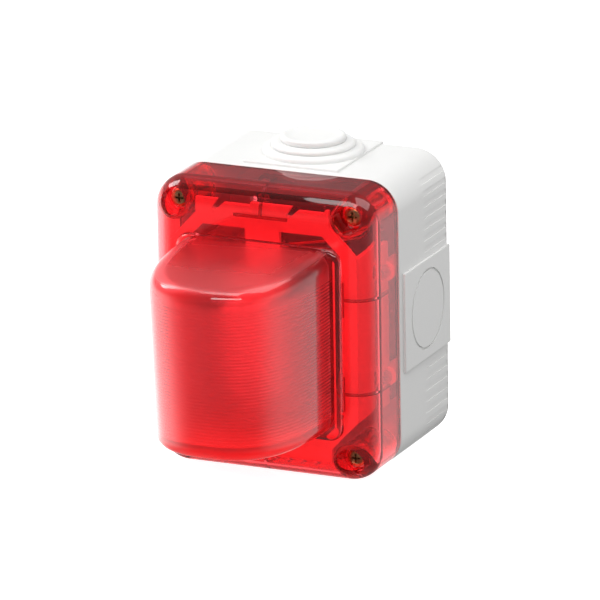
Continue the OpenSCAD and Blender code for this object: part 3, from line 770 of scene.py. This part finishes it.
def make_box():
    """The open box: panels and knock-outs on its sides, bosses inside, the gasket's seat on its rim."""
    outer = rounded_block(BOX_WIDTH, BOX_HEIGHT, 0, BOX_DEPTH, CORNER, 0.5 * MM, 1.0 * MM, name="back_box")
    outer = union(outer, *[panel(side) for side in ("top", "bottom", "left", "right")])
    hollow = rounded_block(BOX_WIDTH - 2 * WALL, BOX_HEIGHT - 2 * WALL, WALL, BOX_DEPTH + MM, CORNER - WALL,
                           back_edge=1.2 * MM)
    box = cut(outer, hollow, *[knockout_ring(side) for side in ("bottom", "left", "right")])
    box = union(box,
                at_corners(SCREW_X, SCREW_Z, WALL - 0.5 * MM, BOX_DEPTH - 0.02 * MM, 7 * MM),
                at_corners(BOARD_BOSS_X, BOARD_BOSS_Z, WALL - 0.5 * MM, 12 * MM, 3.5 * MM),
                at_corners(HOOD_BOSS_X, HOOD_BOSS_Z, WALL - 0.5 * MM, 46 * MM, 3.8 * MM),
                at_corners(FIXING_X, FIXING_Z, WALL - 0.5 * MM, WALL + 1.5 * MM, 5 * MM))
    gland_hole = spun([(0, 0), (GLAND_HOLE, 0), (GLAND_HOLE, 8 * MM), (0, 8 * MM)], UP,
                      Vector((0, -ENTRY_DEPTH, BOX_HEIGHT / 2 - 5 * MM)), "gland hole")
    box = cut(box, rim_groove(), gland_hole, corner_grooves(),
              at_corners(SCREW_X, SCREW_Z, BOX_DEPTH - 8 * MM, BOX_DEPTH + MM, 2.8 * MM),
              at_corners(SCREW_X, SCREW_Z, BOX_DEPTH - 20 * MM, BOX_DEPTH, 2.3 * MM),
              at_corners(BOARD_BOSS_X, BOARD_BOSS_Z, 4 * MM, 16 * MM, PILOT),
              at_corners(HOOD_BOSS_X, HOOD_BOSS_Z, 30 * MM, 50 * MM, PILOT),
              at_corners(FIXING_X, FIXING_Z, -MM, 8 * MM, 2.6 * MM))
    return finish_piece("box", box, "housing", GREY_HOUSING, "back_box")


def make_gland():
    """The stepped membrane: three soft tiers with undercuts, a dished top and a collar inside the wall."""
    top = BOX_HEIGHT / 2 + PANEL_HEIGHT
    inner = BOX_HEIGHT / 2 - WALL
    hole, collar = 16.15 * MM, 18 * MM
    outline = [(0, 6.3), (7.5, 6.4), (9.6, 6.55), (10.6, 6.95), (11.4, 7.18), (12.3, 7.15),
               (13.0, 6.85), (13.3, 6.3), (13.3, 5.2), (13.1, 4.75), (12.9, 4.55),
               (15.6, 4.45), (16.5, 4.2), (17.05, 3.7), (17.15, 3.1), (17.05, 2.65), (16.8, 2.35),
               (18.9, 2.25), (20.0, 1.95), (20.6, 1.3), (20.7, 0.6), (20.7, 0.0)]
    profile = [(r * MM, top + h * MM) for r, h in outline]
    profile += [(hole, top), (hole, inner), (collar, inner), (collar, inner - 1.2 * MM),
                (15.2 * MM, inner - 2.6 * MM), (14 * MM, inner - 2.6 * MM), (14 * MM, top + MM),
                (11 * MM, top + 3 * MM), (11 * MM, top + 4.8 * MM), (0, top + 4.8 * MM)]
    mesh = spun(profile, UP, Vector((0, -ENTRY_DEPTH, 0)), "top_gland", 128)
    return finish_piece("gland", mesh, "housing", GLAND_RUBBER, "top_gland", sharp=40)


# ---------- screws of the cover ----------

def cross_recess(x, z, front, reach, wide, deep):
    """The cutter of a cross recess: two crossed wedges that narrow towards their tip."""
    arms = []
    for along, across in (((1, 0, 0), (0, 0, 1)), ((0, 0, 1), (1, 0, 0))):
        along, across = Vector(along), Vector(across)
        bm = bmesh.new()
        bmesh.ops.create_cube(bm, size=1)
        for v in bm.verts:
            tip = v.co.y > 0
            length = reach * (0.45 if tip else 1.0)
            breadth = wide * (0.6 if tip else 1.0)
            depth = -front + deep if tip else -front - 0.5 * MM
            v.co = along * (v.co.x * 2 * length) + across * (v.co.z * breadth) + Vector((0, depth, 0))
        bmesh.ops.translate(bm, vec=(x, 0, z), verts=bm.verts)
        arms.append(to_mesh(bm, "arm"))
    return union(*arms)


def make_cover_screw(number):
    """A pan-headed screw with its thread as rings and a cross recess."""
    node = f"cover_screw_{number}"
    low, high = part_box(node)
    x, z = (low.x + high.x) / 2, (low.z + high.z) / 2
    front, tip = -low.y, -high.y
    head, thread = (high.x - low.x) / 2, 2 * MM
    seat = front - 3 * MM
    profile = [(0, tip), (thread * 0.7, tip), (thread * 0.96, tip + 0.7 * MM)]
    pitch = 0.7 * MM
    crest, root = thread * 0.98, thread * 0.82
    turns = int((seat - tip - 3 * MM) / pitch)
    for i in range(turns):
        base = tip + 0.7 * MM + i * pitch
        profile += [(crest, base + 0.2 * pitch), (root, base + 0.6 * pitch), (crest, base + pitch)]
    profile += [(crest, seat), (head * 0.96, seat), (head, seat + 0.15 * MM), (head, seat + 1.9 * MM),
                (head * 0.95, seat + 2.4 * MM), (head * 0.82, seat + 2.8 * MM), (head * 0.6, seat + 2.96 * MM),
                (0, front)]
    body = spun(profile, Vector((0, -1, 0)), Vector((x, 0, z)), node, 48)
    body = cut(body, cross_recess(x, z, front, 2.3 * MM, 0.9 * MM, 1.7 * MM))
    return finish_piece(f"{node}_turned", body, f"screw_{number}", SCREW_BRASS, node)


# ---------- everything else: CAD shapes with softened edges ----------

def make_inner_parts():
    """The gasket, the inserts and all that is inside, most with their edges rounded by a few tenths."""
    soft = [("rim_gasket", "gasket_rubber", GASKET, 0.25), ("threaded_inserts", "brass", BRASS, 0.15),
            ("main_board", "board_green", BOARD, 0.1), ("board_screws", "steel", STEEL, 0.15),
            ("terminal_block", "terminal_green", TERMINAL_GREEN, 0.2),
            ("dip_switch", "switch_red", SWITCH_RED, 0.2),
            ("trimmer_case", "trimmer_blue", TRIMMER_BLUE, 0.2), ("capacitor", "capacitor_sleeve", SLEEVE, 0.3),
            ("trigger_coil", "coil_yellow", COIL, 0.2), ("choke", "copper_winding", CHOKE, 0),
            ("control_chip", "black_plastic", BLACK_PLASTIC, 0.1),
            ("carrier_hood", "white_plastic", WHITE_PLASTIC, 0.35),
            ("hood_screws", "steel", STEEL, 0.15), ("sounder_case", "black_plastic", BLACK_PLASTIC, 0.3),
            ("sounder_disc", "brass", BRASS, 0.08), ("sounder_ring", "black_plastic", BLACK_PLASTIC, 0.2),
            ("sounder_screws", "steel", STEEL, 0.15), ("lamp_base", "white_plastic", WHITE_PLASTIC, 0.35),
            ("lamp_reflector", "mirror_finish", MIRROR, 0.1), ("flash_tube", "tube_glass", TUBE_GLASS, 0.2),
            ("tube_caps", "steel", STEEL, 0.3), ("tube_leads", "lead_red", LEAD_RED, 0),
            ("sounder_leads", "lead_black", LEAD_BLACK, 0)]
    for node, slot, material, width in soft:
        softened(node, "housing", material, width * MM)
    softened("trimmer_rotor", "trimmer", WHITE_PLASTIC, 0.15 * MM)
    for i in range(1, 5):
        softened(f"terminal_screw_{i}", f"clamp_screw_{i}", STEEL, 0.1 * MM)
        softened(f"terminal_cage_{i}", f"clamp_cage_{i}", BRASS, 0.1 * MM)
        softened(f"dip_slider_{i}", f"tone_slider_{i}", WHITE_PLASTIC, 0.1 * MM)
        softened(f"screw_washer_{i}", f"washer_{i}", NYLON, 0.15 * MM)


make_cover()
make_box()
make_gland()
for number in range(1, 5):
    make_cover_screw(number)
make_inner_parts()


# ---------- studio ----------

middle = (cad_low + cad_high) / 2


def make_floor():
    """A pale floor that only the camera sees."""
    bm = bmesh.new()
    bmesh.ops.create_grid(bm, x_segments=2, y_segments=2, size=6)
    bmesh.ops.translate(bm, vec=(0, 0, cad_low.z), verts=bm.verts)
    mesh = bpy.data.meshes.new("floor")
    bm.to_mesh(mesh)
    bm.free()
    material, tree, shader = new_material("pale floor")
    shader.inputs["Base Color"].default_value = (0.9, 0.9, 0.9, 1)
    shader.inputs["Roughness"].default_value = 0.9
    shader.inputs["Specular IOR Level"].default_value = 0.0
    shader.inputs["Emission Color"].default_value = (1, 1, 1, 1)
    shader.inputs["Emission Strength"].default_value = 0.92
    mesh.materials.append(material)
    floor = bpy.data.objects.new("floor", mesh)
    bpy.context.scene.collection.objects.link(floor)
    floor.visible_glossy = False
    floor.visible_diffuse = False
    floor.visible_shadow = False


def make_world():
    """Pale surroundings: bright behind and to both sides, dim low in front, white to the camera."""
    world = bpy.data.worlds.new("studio")
    world.use_nodes = True
    bpy.context.scene.world = world
    tree = world.node_tree
    background = tree.nodes["Background"]
    background.inputs["Color"].default_value = (1, 1, 1, 1)
    direction = add_node(tree, "ShaderNodeTexCoord").outputs["Generated"]
    parts = add_node(tree, "ShaderNodeSeparateXYZ", sockets={0: direction})
    lean = arithmetic(tree, "MULTIPLY", parts.outputs["X"], -0.3)
    back = ranged(tree, arithmetic(tree, "ADD", parts.outputs["Y"], lean), 0.16, 1.0, -0.7, 0.1, True)
    left = ranged(tree, parts.outputs["X"], 2.5, 1.0, -0.85, -0.25, True)
    above = ranged(tree, parts.outputs["Z"], 1.0, 0.22, -0.05, 0.28, True)
    below = ranged(tree, parts.outputs["Z"], 0.25, 1.0, -0.75, -0.35, True)
    level = arithmetic(tree, "MULTIPLY", arithmetic(tree, "MULTIPLY", back, above), left)
    right = ranged(tree, parts.outputs["X"], 1.0, 1.12, 0.3, 0.9, True)
    level = arithmetic(tree, "MULTIPLY", arithmetic(tree, "MULTIPLY", level, below), right)
    camera_ray = add_node(tree, "ShaderNodeLightPath").outputs["Is Camera Ray"]
    strength = arithmetic(tree, "MAXIMUM", level, camera_ray)
    tree.links.new(strength, background.inputs["Strength"])


def area_light(name, spot, target, width, height, power):
    """A rectangular lamp at a spot, aimed at a target, both measured from the middle of the object."""
    data = bpy.data.lights.new(name, "AREA")
    data.shape = "RECTANGLE"
    data.size = width
    data.size_y = height
    data.energy = power
    light = bpy.data.objects.new(name, data)
    light.location = middle + Vector(spot)
    light.rotation_mode = "QUATERNION"
    light.rotation_quaternion = (Vector(target) - Vector(spot)).to_track_quat("-Z", "Y")
    bpy.context.scene.collection.objects.link(light)


def make_lights():
    area_light("overhead bank", (0.02, -0.22, 0.72), (0.02, -0.02, 0), 0.60, 0.26, 2.1)
    area_light("rear right bank", (0.36, 0.20, 0.66), (0, 0, 0), 0.50, 0.55, 2.1)
    area_light("left softbox", (-0.55, 0.02, 0.56), (0, 0, 0), 0.26, 0.40, 2.3)
    area_light("front fill", (0.45, -1.15, 0.82), (0.2, 0, 0), 1.5, 0.34, 9.8)


def make_camera():
    """A long lens far off to the right, looking a little down."""
    azimuth, elevation, roll = math.radians(24.228), math.radians(17.125), math.radians(-0.917)
    distance = 3.5249
    aim = middle + Vector((0.521, 30.5, -0.756)) * MM
    back = Vector((math.sin(azimuth) * math.cos(elevation), -math.cos(azimuth) * math.cos(elevation),
                   math.sin(elevation)))
    right = Vector((0, 0, 1)).cross(back).normalized()
    up = back.cross(right)
    turned_right = math.cos(roll) * right + math.sin(roll) * up
    turned_up = math.cos(roll) * up - math.sin(roll) * right
    data = bpy.data.cameras.new("camera")
    data.sensor_width = 36
    data.lens = 524.7
    data.clip_start, data.clip_end = 0.1, 50
    camera = bpy.data.objects.new("camera", data)
    turn = Matrix((turned_right, turned_up, back)).transposed().to_4x4()
    camera.matrix_world = Matrix.Translation(aim + back * distance) @ turn
    bpy.context.scene.collection.objects.link(camera)
    bpy.context.scene.camera = camera


make_floor()
make_world()
make_lights()
make_camera()
bpy.context.scene.view_settings.view_transform = "Standard"
